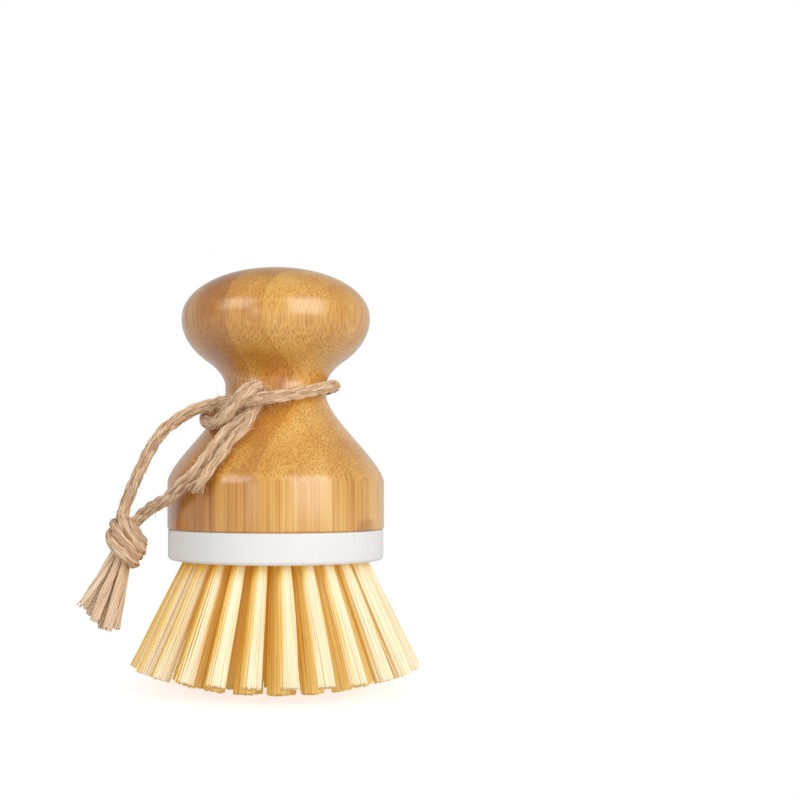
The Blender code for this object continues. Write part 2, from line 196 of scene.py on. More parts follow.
def noise(place, scale=1.0, detail=2.0, roughness=0.5, kind="Fac"):
    return after("TexNoise", {
        "Vector": place, "Scale": scale, "Detail": detail, "Roughness": roughness})[kind]


def mapping(place, **values):
    """Coordinates that are turned, or scaled so that a pattern is drawn out."""
    named = {key.title(): value for key, value in values.items()}
    return after("Mapping", {"Vector": place} | named)["Vector"]


def add_bump(shader, height, strength, distance):
    values = {"Height": height, "Strength": strength, "Distance": distance}
    link(after("Bump", values)["Normal"], shader, "Normal")


# %% [markdown]
# Jute first, because the cord's room has to be known early. Each strand is a curve with a
# round bevel, turned into a mesh whose points say where they lie round the strand and
# along it. A noise that is read in those terms is drawn out along the fibre wherever the
# strand goes.
# %% Jute material
FIBRE_CONTRAST = 0.9  # light and dark along the fibres
STRAND_CONTRAST = 0.60  # from one strand to the next
JUTE_OFFSET = -0.26

jute, tree, shader = new_material("jute", roughness=0.85, specular_ior_level=0.25)
fibres = noise(attribute(tree, "lay", "Vector"), scale=2.2, detail=3.0)
shade = plus(times(fibres, FIBRE_CONTRAST),
             times(attribute(tree, "tone"), STRAND_CONTRAST), JUTE_OFFSET)
colour = ramp(shade, [
    (0.10, linear(150, 104, 72)),
    (0.30, linear(214, 174, 134)),
    (0.55, linear(240, 208, 172)),
    (0.90, linear(252, 233, 206)),
])
link(colour, shader, "Base Color")
add_bump(shader, fibres, strength=0.5, distance=0.1 * MM)
print("jute has", len(tree.nodes), "nodes")

# %% [markdown]
# The loop's route has the model's own points: up from the end knot, once round the neck
# through a half knot, and down again. The turn is written in degrees from the front, radius
# and height. The curve passes through every point, with its pace set by the distance
# between them, so it has no loops or flat spots. The model leaves a small gap where one
# solid meets the next. Here both strands run on into the end knot, and the tail comes out
# from under the half knot.
# %% Route of the loop
UPPER_STRAND_ROUTE = (
    (-35.8, -7.1, 42.2), (-34.6, -7.5, 45.6), (-33.2, -7.8, 49.0), (-31.4, -8.0, 52.9),
    (-29.2, -8.1, 57.2), (-26.6, -8.2, 60.9), (-23.2, -8.4, 63.9), (-19.6, -8.5, 66.2),
)
NECK_TURN_ROUTE = (
    (-63, 17.9, 67.3), (-50, 18.0, 67.7), (-36, 18.6, 67.9), (-24, 18.8, 68.0),
    (-12, 18.5, 68.3), (2, 16.9, 68.8), (20, 15.3, 69.7), (42, 14.4, 70.8),
    (65, 14.1, 71.8), (90, 14.1, 72.3), (115, 14.1, 72.1), (140, 14.1, 71.3),
    (165, 14.3, 70.3), (190, 14.6, 69.1), (215, 15.1, 67.9), (240, 15.8, 66.7),
    (262, 16.0, 66.2), (276, 16.6, 65.1), (290, 17.7, 63.9), (303, 19.1, 63.0),
    (314, 20.7, 62.8), (323, 22.4, 63.8), (329.5, 23.0, 65.5), (334.5, 22.8, 67.7),
    (339.5, 21.7, 70.1), (343.5, 19.3, 71.7), (345.5, 16.7, 71.9), (346.0, 14.9, 70.1),
    (344.5, 15.0, 67.6), (340.5, 16.6, 65.2), (334.5, 17.8, 63.6), (329, 18.8, 62.3),
    (325.5, 20.1, 61.0),
)
LOWER_STRAND_ROUTE = (
    (-13.4, -18.6, 57.9), (-15.3, -20.0, 55.2), (-17.6, -20.8, 52.0), (-21.0, -19.4, 48.7),
    (-24.7, -15.9, 45.5), (-28.4, -11.7, 43.6), (-32.2, -7.6, 40.7),
)
TAIL_ROUTE = (
    (-6.8, -18.9, 61.8), (-9.0, -19.2, 59.8), (-11.0, -20.6, 57.1), (-13.2, -22.1, 54.0),
    (-15.4, -23.4, 51.2), (-16.9, -23.2, 49.2), (-18.2, -22.2, 47.2),
)
INSIDE_KNOT = ((-36.2, -7.0, 38.8), (-33.9, -7.2, 38.6))
INSIDE_HITCH = (-5.6, -16.9, 64.3)
TWINE_DIAMETER = 3.0 * MM
TAIL_DIAMETER = 2.5 * MM
ROUTE_STEPS = 12  # from one point of a route to the next


def smooth_route(points):
    """A centripetal Catmull-Rom curve through the points."""
    knots = [points[0] * 2 - points[1], *points, points[-1] * 2 - points[-2]]
    curve = []
    for a, b, c, d in zip(knots, knots[1:], knots[2:], knots[3:]):
        t1 = math.sqrt((b - a).length)
        t2 = t1 + math.sqrt((c - b).length)
        t3 = t2 + math.sqrt((d - c).length)
        for step in range(ROUTE_STEPS):
            t = t1 + (t2 - t1) * step / ROUTE_STEPS
            ab, bc = a.lerp(b, t / t1), b.lerp(c, (t - t1) / (t2 - t1))
            cd = c.lerp(d, (t - t2) / (t3 - t2))
            abc, bcd = ab.lerp(bc, t / t2), bc.lerp(cd, (t - t1) / (t3 - t1))
            curve.append(abc.lerp(bcd, (t - t1) / (t2 - t1)))
    return np.array([*curve, points[-1]])


def straight_points(route):
    return [Vector(point) * MM for point in route]


def turn_point(angle, radius, height):
    turn = math.radians(angle)
    return Vector((radius * math.sin(turn), -radius * math.cos(turn), height)) * MM


neck_turn = [turn_point(*point) for point in NECK_TURN_ROUTE]
loop_line = smooth_route(
    straight_points((INSIDE_KNOT[0],) + UPPER_STRAND_ROUTE) + neck_turn
    + straight_points(LOWER_STRAND_ROUTE + (INSIDE_KNOT[1],)))
tail_line = smooth_route(straight_points((INSIDE_HITCH,) + TAIL_ROUTE))

# %% [markdown]
# The model's firm tubes stand clear of each other where they cross. Soft jute doesn't, so
# the half knot is drawn in a little towards the neck, and its top a little down.
# %% Half knot drawn in
HITCH_TURNS = (-72, -54, -12, -4)  # where it lies, in degrees from the front
HITCH_FOOT = (57.5, 61.0)  # mm: the heights over which it sets in
HITCH_TOP = (68.5, 73.0)  # mm: and over which it is drawn down
REACH_HEIGHTS = (61.0, 65.0, 70.0)  # mm: up the neck, a strand that lies on the handle
NECK_REACH = (18.5, 15.7, 13.7)  # is this far out, in mm
DRAW_IN_SHARE = 0.30
DRAW_DOWN = 0.9 * MM


def draw_in(line):
    """The line with the half knot's layers pressed closer to the neck."""
    turn = np.degrees(np.arctan2(line[:, 0], -line[:, 1]))
    radius, height = np.hypot(line[:, 0], line[:, 1]), line[:, 2] / MM
    weight = (np.interp(turn, HITCH_TURNS, (0, 1, 1, 0))
              * np.interp(height, HITCH_FOOT, (0, 1)))
    reach = np.interp(height, REACH_HEIGHTS, NECK_REACH) * MM
    drawn = radius - DRAW_IN_SHARE * weight * np.maximum(radius - reach, 0)
    down = DRAW_DOWN * weight * np.interp(height, HITCH_TOP, (0, 1))
    return np.column_stack([line[:, :2] * (drawn / radius)[:, None], line[:, 2] - down])


def distances(line):
    """How far along the line each of its points lies."""
    steps = np.linalg.norm(np.diff(line, axis=0), axis=1)
    return np.concatenate(([0], np.cumsum(steps)))


loop_line = draw_in(loop_line)
loop_length, tail_length = (float(distances(line)[-1]) for line in (loop_line, tail_line))
print(f"loop {loop_length / MM:.0f} mm, tail {tail_length / MM:.0f} mm")

# %% [markdown]
# Cord is made the way a rope walk makes it: fibres are wound into a ply, and three plies
# the other way into the cord. Both windings are the same step, a line carried round
# another at a set distance and pitch. The frame that carries it has to turn as little as
# possible, or the winding would bunch up in the bends.
# %% Winding one line round another
FIRST_SIDE = (0.3, 0.2, 0.93)  # any direction that no line here starts along
FEWEST_KNOTS = 4


def unit(vector):
    return vector / max(np.linalg.norm(vector), 1e-9)


def carried_frames(line):
    """Two directions square to the line at each point, carried along with no twist."""
    along = np.gradient(line, axis=0)
    along /= np.linalg.norm(along, axis=1)[:, None]
    first = [unit(np.cross(along[0], FIRST_SIDE))]
    for direction in along[1:]:
        first.append(unit(first[-1] - direction * first[-1].dot(direction)))
    first = np.array(first)
    return first, np.cross(along, first)


def wind(line, radius, pitch, start, wobble=None):
    """A line wound round another: pitch is the length of one turn, with its hand's sign."""
    first, second = carried_frames(line)
    angle = (start + math.tau * distances(line) / pitch)[:, None]
    reach = np.broadcast_to(radius, len(line))[:, None]
    if wobble is not None:
        reach = reach * (1 + wobble[:, None])
    return line + reach * (np.cos(angle) * first + np.sin(angle) * second)


def resample(line, spacing):
    """The same line with evenly spaced points."""
    reach = distances(line)
    places = np.linspace(0, reach[-1], max(2, round(reach[-1] / spacing)))
    return np.column_stack([np.interp(places, reach, line[:, axis]) for axis in range(3)])


def soft_noise(random, count, knots, size):
    """Smooth random values along a line."""
    places = np.linspace(0, count - 1, max(FEWEST_KNOTS, knots))
    return np.interp(np.arange(count), places, random.normal(0, size, len(places)))


# %% [markdown]
# Hundreds of strands are kept in one curve object with a round bevel, which Blender turns
# into tubes. The mesh that comes out has its rings in the order of the strands, so the
# attributes can be laid on in one go. The open ends are filled afterwards.
# %% Tubes from lines
TUBE_SIDES = 4  # what a bevel resolution of 0 gives
LAY_PER_MM = 0.12  # how far the lay runs on along a strand
LAY_STEP = 3.7  # and from one strand to the next
TUBE_SHARP = 70  # degrees


def smooth_object(name, mesh, material, sharp_angle):
    """An object of one material, shaded smooth but for its sharp edges."""
    mesh.name = name
    mesh.shade_smooth()
    mesh.set_sharp_from_angle(angle=math.radians(sharp_angle))
    mesh.materials.clear()
    mesh.materials.append(material)
    return add_object(name, mesh)


def strand_curves(name, lines, radii):
    """A curve object with a round bevel, one spline for each line."""
    data = bpy.data.curves.new(name, "CURVE")
    data.dimensions = "3D"
    data.fill_mode = "FULL"
    data.bevel_depth = 1.0
    data.bevel_resolution = 0
    data.resolution_u = 1
    for line, radius in zip(lines, radii):
        spline = data.splines.new("POLY")
        spline.points.add(len(line) - 1)
        padded = np.column_stack([line, np.ones(len(line))])
        spline.points.foreach_set("co", padded.ravel().astype(np.float32))
        spline.points.foreach_set(
            "radius", np.broadcast_to(radius, len(line)).astype(np.float32))
    return add_object(name, data)


def tubes(name, lines, radii, material, tones):
    """One mesh of round tubes. A radius is one number or one for each point of its line."""
    source = strand_curves(name + "_lines", lines, radii)
    bpy.context.view_layer.update()
    mesh = bpy.data.meshes.new_from_object(source)
    bpy.data.objects.remove(source)

    angles = np.arange(TUBE_SIDES) * math.tau / TUBE_SIDES
    ring = np.column_stack([np.cos(angles), np.sin(angles), np.zeros(TUBE_SIDES)])
    values = {"lay": [], "tone": [], "reach": []}
    for number, (line, tone) in enumerate(zip(lines, tones)):
        rows = np.tile(ring, (len(line), 1))
        along = distances(line) / MM * LAY_PER_MM
        rows[:, 2] = np.repeat(along, TUBE_SIDES) + number * LAY_STEP
        values["lay"].append(rows)
        values["tone"].append(np.full(len(rows), tone))
        values["reach"].append(np.repeat(np.linspace(0, 1, len(line)), TUBE_SIDES))
    for attribute_name, rows in values.items():
        rows = np.concatenate(rows)
        assert len(rows) == len(mesh.vertices), (len(rows), len(mesh.vertices))
        kind, field = ("FLOAT_VECTOR", "vector") if rows.ndim == 2 else ("FLOAT", "value")
        mesh.attributes.new(attribute_name, kind, "POINT").data.foreach_set(
            field, rows.ravel().astype(np.float32))

    bm = bmesh.new()
    bm.from_mesh(mesh)
    bmesh.ops.holes_fill(bm, edges=[edge for edge in bm.edges if edge.is_boundary], sides=0)
    bmesh.ops.recalc_face_normals(bm, faces=bm.faces)
    bm.to_mesh(mesh)
    bm.free()
    return smooth_object(name, mesh, material, TUBE_SHARP)


# %% [markdown]
# The cord has three plies, and the thinner tail has two. Each ply is a core with finer
# fibres wound round it, whose places and thickness vary a little, because jute is a rough
# yarn. The cord's own outline stays at its diameter.
# %% Plied cord
PLIES = 3
PLY_PITCH = 12.0 * MM
PLY_OFFSET_SHARE = 0.16  # of the cord's diameter
CORE_SHARE = 0.88  # of the ply's radius
CORE_TONE = 0.25
FIBRES_PER_PLY = 22
FIBRE_PITCH = -16.0 * MM
FIBRE_SPACING = 0.6 * MM  # between the points of a fibre
FIBRE_PLACE_SHARE = 0.86  # of the ply's radius
FIBRE_THICKNESS = (0.09, 0.18)  # of the ply's radius
FIBRE_SHIFT = 0.3  # of the room between two fibres
WOBBLE_POINTS, WOBBLE = 7, 0.05
SWELL_POINTS, SWELL = 9, 0.2
SWELL_LIMITS = (0.5, 1.5)
FRAY_START = 0.8  # of a frayed cord's length, where its plies part
FRAY_POWER = 1.5
CORE_KEPT = 0.93  # of a frayed cord's length
FIBRES_KEPT = (0.88, 1)


def plied_cord(name, line, diameter, random, plies=PLIES, end_spread=0.0):
    """A cord of plies along a line. end_spread frays its last fifth."""
    even = resample(line, FIBRE_SPACING)
    count = len(even)
    ply_offset = diameter * PLY_OFFSET_SHARE
    ply_radius = diameter / 2 - ply_offset
    frayed = np.clip((np.linspace(0, 1, count) - FRAY_START) / (1 - FRAY_START), 0, 1)
    opening = 1 + end_spread * frayed ** FRAY_POWER
    lines, radii, tones = [], [], []
    for ply in range(plies):
        ply_line = wind(even, ply_offset * opening, PLY_PITCH, math.tau * ply / plies)
        lines.append(ply_line[:round(count * (CORE_KEPT if end_spread else 1))])
        radii.append(ply_radius * CORE_SHARE)
        tones.append(CORE_TONE)
        for fibre in range(FIBRES_PER_PLY):
            wobble = soft_noise(random, count, int(count / WOBBLE_POINTS), WOBBLE)
            place = fibre + random.uniform(-FIBRE_SHIFT, FIBRE_SHIFT)
            fibre_line = wind(
                ply_line, ply_radius * FIBRE_PLACE_SHARE * opening, FIBRE_PITCH,
                math.tau * place / FIBRES_PER_PLY, wobble)
            kept = round(count * random.uniform(*FIBRES_KEPT)) if end_spread else count
            lines.append(fibre_line[:kept])
            swell = 1 + soft_noise(random, count, int(count / SWELL_POINTS), SWELL)
            thickness = ply_radius * random.uniform(*FIBRE_THICKNESS)
            radii.append((thickness * np.clip(swell, *SWELL_LIMITS))[:kept])
            tones.append(random.uniform(0, 1))
    return tubes(name, lines, radii, jute, tones)


random = np.random.default_rng(7)
loop = plied_cord("jute_loop", loop_line, TWINE_DIAMETER, random)
print("loop faces:", len(loop.data.polygons))
tail = plied_cord("jute_tail", tail_line, TAIL_DIAMETER, random, plies=2, end_spread=0.9)

# %% [markdown]
# The end knot ties both strands. Its wraps lie side by side round an axis that points up
# and right, as a line that runs round a ball from one pole to the other. The last band
# comes out over the yarn ends and turns back under the knot. A plain core fills the middle.
# %% End knot
KNOT_CENTRE = np.array((-34.9, -7.0, 36.0)) * MM
KNOT_TURN = Vector((0.9, 0.0, 1.0)).to_track_quat("Z", "Y").to_matrix()
KNOT_SIZE = np.array((9.6, 11.6, 9.4)) * MM  # depth, length along the wraps, width
KNOT_STRETCH = np.array((0.86, 1.0, 1.12))  # the pull of the strands draws it upwards
CORE_INSET = 1.1 * MM
WRAP_DIAMETER = 2.4 * MM
WRAP_SINK = 0.4  # of its diameter: how deep a wrap's middle lies in the knot
WRAPS = 4.4
WRAP_START = 0.8  # radians
POINTS_PER_WRAP = 40
WRAP_MARGIN = 0.42  # radians from each pole that stay free
WRAP_FAN = math.radians(14)  # the wraps lean apart towards the left
LAST_BAND = (
    (-37.0, -4.0, 38.6), (-38.7, -7.4, 37.2), (-38.1, -10.3, 35.4), (-36.2, -11.4, 33.6),
    (-34.4, -10.9, 31.8), (-33.3, -9.4, 30.5), (-33.0, -7.6, 30.2), (-33.6, -5.4, 31.2),
)


def mesh_from(bm, name):
    """The mesh of a bmesh, which is freed."""
    mesh = bpy.data.meshes.new(name)
    bm.to_mesh(mesh)
    bm.free()
    return mesh


def wrap_line():
    """A line that winds round the knot from near one pole to near the other."""
    share = np.linspace(0, 1, round(WRAPS * POINTS_PER_WRAP))
    polar = WRAP_MARGIN + (math.pi - 2 * WRAP_MARGIN) * share
    around = WRAP_START + math.tau * WRAPS * share
    fan = WRAP_FAN * np.cos(polar)
    side, along, up = (np.sin(polar) * np.cos(around), np.sin(polar) * np.sin(around),
                       np.cos(polar))
    along, up = (along * np.cos(fan) - up * np.sin(fan),
                 along * np.sin(fan) + up * np.cos(fan))
    on_ball = (np.column_stack([side, along, up])
               * (KNOT_SIZE / 2 - WRAP_DIAMETER * WRAP_SINK))
    return KNOT_CENTRE + KNOT_STRETCH * (on_ball @ np.array(KNOT_TURN).T)


knot_line = wrap_line()
knot_wraps = plied_cord("jute_knot_wraps", knot_line, WRAP_DIAMETER, random)
band_line = smooth_route(straight_points(LAST_BAND))
knot_band = plied_cord("jute_knot_band", band_line, WRAP_DIAMETER, random)
bm = bmesh.new()
bmesh.ops.create_uvsphere(bm, u_segments=24, v_segments=16, radius=1.0)
bmesh.ops.scale(bm, verts=bm.verts, vec=KNOT_SIZE / 2 - CORE_INSET)
bmesh.ops.transform(
    bm, verts=bm.verts, matrix=Matrix.Translation(KNOT_CENTRE)
    @ Matrix.Diagonal((*KNOT_STRETCH, 1)) @ KNOT_TURN.to_4x4())
core_mesh = mesh_from(bm, "jute_knot_core")
core_mesh.shade_smooth()
core_mesh.materials.append(jute)
knot_core = add_object("jute_knot_core", core_mesh)
print(f"knot: {distances(knot_line)[-1] / MM:.0f} mm of cord in {WRAPS} wraps")

# %% [markdown]
# Below the knot the cord is cut and its yarns come apart. Each yarn is a bundle of fibres
# with a slow twist that opens towards the cut end.
# %% Frayed yarn ends
YARN_ENDS = (
    ((-37.0, -7.5, 33.9), (-45.4, -7.6, 19.9)),
    ((-36.6, -6.4, 33.2), (-43.9, -6.2, 18.0)),
    ((-36.1, -7.7, 32.7), (-42.6, -8.2, 16.8)),
    ((-35.6, -6.5, 32.2), (-41.1, -6.3, 14.8)),
    ((-35.2, -7.7, 31.8), (-39.5, -8.1, 14.6)),
    ((-34.7, -6.7, 31.4), (-37.9, -6.8, 14.8)),
)
YARN_FIBRES = 26
YARN_RADIUS = 0.85 * MM
YARN_STRAY = 0.35 * MM  # of a yarn's middle from the straight line
YARN_POINTS = 22
YARN_PITCH = 34 * MM
YARN_OPENING = (0.85, 0.45)  # its width at the knot, and how much it gains to its end
YARN_LENGTHS = (0.93, 1.0)
YARN_TURN = 2.4  # radians from one fibre to the next
YARN_KNOTS, YARN_WOBBLE = 5, 0.15
YARN_THICKNESS = (0.14, 0.27)  # mm
YARN_TONES = (0.4, 1.2)


def yarn_bundle(root, tip, random):
    """Lines of the fibres of one loosened yarn."""
    root, tip = np.array(root) * MM, np.array(tip) * MM
    middle = (root + tip) / 2 + random.normal(0, YARN_STRAY, 3)
    share = np.linspace(0, 1, YARN_POINTS)[:, None]
    line = (1 - share) ** 2 * root + 2 * share * (1 - share) * middle + share ** 2 * tip
    opening = YARN_OPENING[0] + YARN_OPENING[1] * share[:, 0] ** 2
    lines = []
    for fibre in range(YARN_FIBRES):
        across = YARN_RADIUS * math.sqrt((fibre + 0.5) / YARN_FIBRES)
        kept = line[:round(YARN_POINTS * random.uniform(*YARN_LENGTHS))]
        lines.append(wind(
            kept, across * opening[:len(kept)], YARN_PITCH, fibre * YARN_TURN,
            soft_noise(random, len(kept), YARN_KNOTS, YARN_WOBBLE)))
    return lines


yarn_lines = [line for root, tip in YARN_ENDS for line in yarn_bundle(root, tip, random)]
yarn_radii = [random.uniform(*YARN_THICKNESS) * MM for _ in yarn_lines]
yarn_tones = [random.uniform(*YARN_TONES) for _ in yarn_lines]
yarns = tubes("jute_yarn_ends", yarn_lines, yarn_radii, jute, yarn_tones)
print("yarn fibres:", len(yarn_lines))

# %% [markdown]
# Short loose hairs leave the yarn all along its run and curl away. They are the same
# tubes, thinner, and taper to the tip.
# %% Loose fibres
HAIR_RADIUS = 0.05 * MM
HAIR_POINTS = 9
HAIR_TIP = 0.35  # of the hair's radius
HAIR_THICKNESS = (0.7, 1.3)
HAIR_TONES = (0.4, 1)
HAIR_ROOT = 0.85  # of the cord's radius
HAIR_LIFT = (0.15, 0.9)  # off the cord, for each unit along it
HAIR_DRIFT = (-0.7, 0.7)  # and sideways
HAIR_CURL = (0.6, 3.2)  # radians
HAIR_LENGTHS = (0.3, 1)  # of the longest
LENGTH_POWER = 1.5  # most hairs are short


def hairs(line, radius, per_mm, longest, random, start, end):
    """Short loose fibres that leave the surface of a cord and curl."""
    first, second = carried_frames(line)
    reach = distances(line)
    count = round(reach[-1] / MM * per_mm * (end - start))
    found = []
    for place in random.uniform(start, end, count) * reach[-1]:
        index = min(int(np.searchsorted(reach, place)), len(line) - 2)
        angle = random.uniform(0, math.tau)
        out = math.cos(angle) * first[index] + math.sin(angle) * second[index]
        along = unit(line[index + 1] - line[index]) * random.choice((-1, 1))
        side = np.cross(out, along)
        leave = unit(along + out * random.uniform(*HAIR_LIFT)
                     + side * random.uniform(*HAIR_DRIFT))
        curl = unit(np.cross(leave, random.normal(0, 1, 3)))
        length = longest * random.uniform(*HAIR_LENGTHS) ** LENGTH_POWER
        turn = random.uniform(*HAIR_CURL) * np.linspace(0, 1, HAIR_POINTS)[:, None]
        bow = length / turn[-1, 0]
        found.append(line[index] + out * radius * HAIR_ROOT
                     + bow * (np.sin(turn) * leave + (1 - np.cos(turn)) * curl))
    return found


HAIRY_RUNS = (  # line, diameter, hairs in a mm, the longest in mm, from where to where
    (loop_line, TWINE_DIAMETER, 3.0, 2.2, 0.0, 1.0),
    (loop_line, TWINE_DIAMETER, 9.0, 3.4, 0.20, 0.27),
    (loop_line, TWINE_DIAMETER, 12.0, 3.6, 0.69, 0.82),
    (tail_line, TAIL_DIAMETER, 9.0, 2.4, 0.0, 1.0),
    (knot_line, WRAP_DIAMETER, 3.0, 1.6, 0.0, 1.0),
)
hair_lines = []
for line, diameter, per_mm, longest, start, end in HAIRY_RUNS:
    hair_lines += hairs(line, diameter / 2, per_mm, longest * MM, random, start, end)
taper = HAIR_RADIUS * np.linspace(1, HAIR_TIP, HAIR_POINTS)
hair_radii = [taper * random.uniform(*HAIR_THICKNESS) for _ in hair_lines]
hair_tones = [random.uniform(*HAIR_TONES) for _ in hair_lines]
fuzz = tubes("jute_fuzz", hair_lines, hair_radii, jute, hair_tones)
print("loose fibres:", len(hair_lines))

# %% [markdown]
# All of the jute belongs to the loop and turns with it round the neck. Three pieces stand
# for the model's twine.
# %% Jute handed over
for piece in (loop, tail, knot_wraps, knot_band, knot_core, yarns, fuzz):
    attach(piece, "loop")
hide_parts("twine_neck_turn", "twine_upper_strand", "twine_lower_strand")
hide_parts("twine_tail")
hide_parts("twine_end_knot")

# %% [markdown]
# The stage is a pale floor. Far from the brush it turns into plain white for the camera,
# so no horizon shows, and near the brush it keeps the soft shadow. The lacquer mirrors the
# same white far off, and a darker floor close by, as the table under the real brush was.
# %% Floor
FLOOR_SIZE = 4.0
SHADOW_REACH = 0.13  # from here on the floor is plain white
FADE_POWER = 1.5
CARD, CARD_MIRRORED = (0.60,) * 3, (0.35,) * 3
LIFT = 0.69  # brings the card up to white for the camera
MIRROR_LOSS = 0.3

bm = bmesh.new()
bmesh.ops.create_grid(bm, x_segments=1, y_segments=1, size=FLOOR_SIZE / 2)
floor_mesh = mesh_from(bm, "floor")
floor = add_object("floor", floor_mesh)

floor_material = bpy.data.materials.new("white_floor")
floor_material.use_nodes = True
tree = floor_material.node_tree
tree.nodes.clear()
rays = add_node(tree, "LightPath")
seen, mirrored = rays["Is Camera Ray"], rays["Is Glossy Ray"]
card = after("BsdfDiffuse", {"Color": mix_colour(mirrored, CARD, CARD_MIRRORED)})[0]
lift = after("Emission", {"Strength": times(seen, LIFT)})[0]
near = after("AddShader", {0: card, 1: lift})[0]
plain = after("Emission", {"Strength": minus(1.0, times(mirrored, MIRROR_LOSS))})[0]
away = vector_math("LENGTH", coordinates(tree))
fade = math_node("DIVIDE", away, SHADOW_REACH, clamp=True)
white = times(math_node("POWER", fade, FADE_POWER), larger(seen, mirrored))
blend = after("MixShader", {0: white, 1: near, 2: plain})[0]
after("OutputMaterial", {"Surface": blend})
floor_mesh.materials.append(floor_material)
print("the floor keeps its shadow for", SHADOW_REACH, "m round the brush")

# %% [markdown]
# The world is plain white for the camera, and soft light for everything else. That light is
# a little stronger from the right and from behind, for the sides that turn away from the
# lamps. The lacquer mirrors a dim room with a pale backdrop and a ceiling.
# %% World
AMBIENT = 0.39
BRIGHTER_RIGHT = 0.12
BRIGHTER_BEHIND = 0.30
ROOM, BACKDROP, CEILING = 0.16, 0.68, 0.26
BACKDROP_EDGE = (-0.4, 0.6)  # from the room to the backdrop, in the share of Y
CEILING_EDGE = (0.2, 0.85)  # and up to the ceiling, in the share of Z

world = bpy.data.worlds.new("studio")
world.use_nodes = True
bpy.context.scene.world = world
tree = world.node_tree
rays = add_node(tree, "LightPath")
toward = axes(coordinates(tree, "Generated"))
behind = remap(toward["Y"], *BACKDROP_EDGE, ROOM, BACKDROP, "SMOOTHSTEP")
overhead = remap(toward["Z"], *CEILING_EDGE, 0.0, 1.0, "SMOOTHSTEP")
room = mix_value(overhead, behind, CEILING)
soft_light = plus(AMBIENT, plus(times(toward["X"], BRIGHTER_RIGHT),
                                times(larger(toward["Y"], 0.0), BRIGHTER_BEHIND)))
lit = mix_value(rays["Is Glossy Ray"], soft_light, room)
shown = larger(rays["Is Camera Ray"], rays["Is Transmission Ray"])
background = tree.nodes["Background"].inputs
tree.links.new(mix_value(shown, lit, 1.0), background["Strength"])
background["Color"].default_value = (1, 1, 1, 1)
bpy.context.scene.view_settings.view_transform = "Standard"
print("world has", len(tree.nodes), "nodes")

# %% [markdown]
# Three lamps light the brush, as softboxes would. The large one stands to the right and
# reaches down to the floor: it leaves the tall pale band on the base and the broad glint on
# the knob. The one at the left begins above the base, so it shows in the knob and along the
# shoulder but not in the upright wall. A small low one draws the thin stripe on the wall.
# %% Lamps
LAMP_TARGET = Vector((0, 0, 60 * MM))
LAMP_DISTANCE = 0.62
LAMPS = {  # azimuth from the camera's side to the right, elevation, size, radiance
    "key_box": (37, 16, (0.47, 0.60), 2.8),
    "strip_box": (-23, 0, (0.08, 0.18), 2.8),
    "left_box": (-47, 25, (0.42, 0.36), 2.3),
}


def softbox(name, azimuth, elevation, size, radiance):
    """An area lamp that faces the brush, and what it adds to a surface that faces it."""
    data = bpy.data.lights.new(name, "AREA")
    data.shape = "RECTANGLE"
    data.size, data.size_y = size
    area = size[0] * size[1]
    data.energy = radiance * math.pi * area
    turn, lift = math.radians(azimuth), math.radians(elevation)
    toward = Vector((math.sin(turn) * math.cos(lift), -math.cos(turn) * math.cos(lift),
                     math.sin(lift)))
    lamp = add_object(name, data)
    lamp.location = LAMP_TARGET + LAMP_DISTANCE * toward
    lamp.rotation_euler = (-toward).to_track_quat("-Z", "Y").to_euler()
    return area * radiance / math.pi / LAMP_DISTANCE ** 2


share = sum(softbox(name, *lamp) for name, lamp in LAMPS.items())
print(f"lamps add {share:.2f} to a surface that faces them")

# %% [markdown]
# Handle and block are turned pieces. A fine spin gives them the even curve that a glossy
# surface needs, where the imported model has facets.
# %% Turned pieces
def bezier(controls, steps):
    """Points of a curve pulled towards its controls, without the first."""
    points = []
    for step in range(1, steps + 1):
        row = [Vector(control) for control in controls]
        while len(row) > 1:
            row = [a.lerp(b, step / steps) for a, b in zip(row, row[1:])]
        points.append(row[0])
    return points


TURNED_STEPS = 180
TURNED_SHARP = 40  # degrees
MERGE_DISTANCE = 0.001 * MM


def turned_piece(name, outline, material):
    """A piece turned round the upright axis from (radius, height) points."""
    bm = bmesh.new()
    verts = [bm.verts.new((radius, 0, height)) for radius, height in outline]
    edges = [bm.edges.new(pair) for pair in zip(verts, verts[1:])]
    bmesh.ops.spin(bm, geom=verts + edges, cent=(0, 0, 0), axis=(0, 0, 1),
                   angle=math.tau, steps=TURNED_STEPS, use_merge=True)
    bmesh.ops.remove_doubles(bm, verts=bm.verts, dist=MERGE_DISTANCE)
    bmesh.ops.recalc_face_normals(bm, faces=bm.faces)
    return smooth_object(name, mesh_from(bm, name), material, TURNED_SHARP)


# %% [markdown]
# The handle's blank is glued up from upright bamboo slats, whose tone steps from one to
# the next. Where four of them meet near the neck, the cone and the knob's underside show
# the glue lines as straight slanting edges, and the slat to their left is a dark one. The
# slats are cells in the plan view, and the turned shape cuts through them as a lathe does.
# %% Slats
SLAT_TURN = math.radians(35)  # the slats run from the front left to the back right
SLAT_SIZES = (8.8 * MM, 19.5 * MM)  # thickness and width
SLAT_CORNER = (10.4 * MM, -7.5 * MM)  # where four slats meet, in the turned directions
SLAT_COUNT_START = 20.0  # keeps the slats' numbers above zero
BACK_RIGHT_DARK, FAR_LEFT_DARK = 0.6, 0.4  # against the dark slat at the front left
GLUE_WIDTH = 0.06 * MM

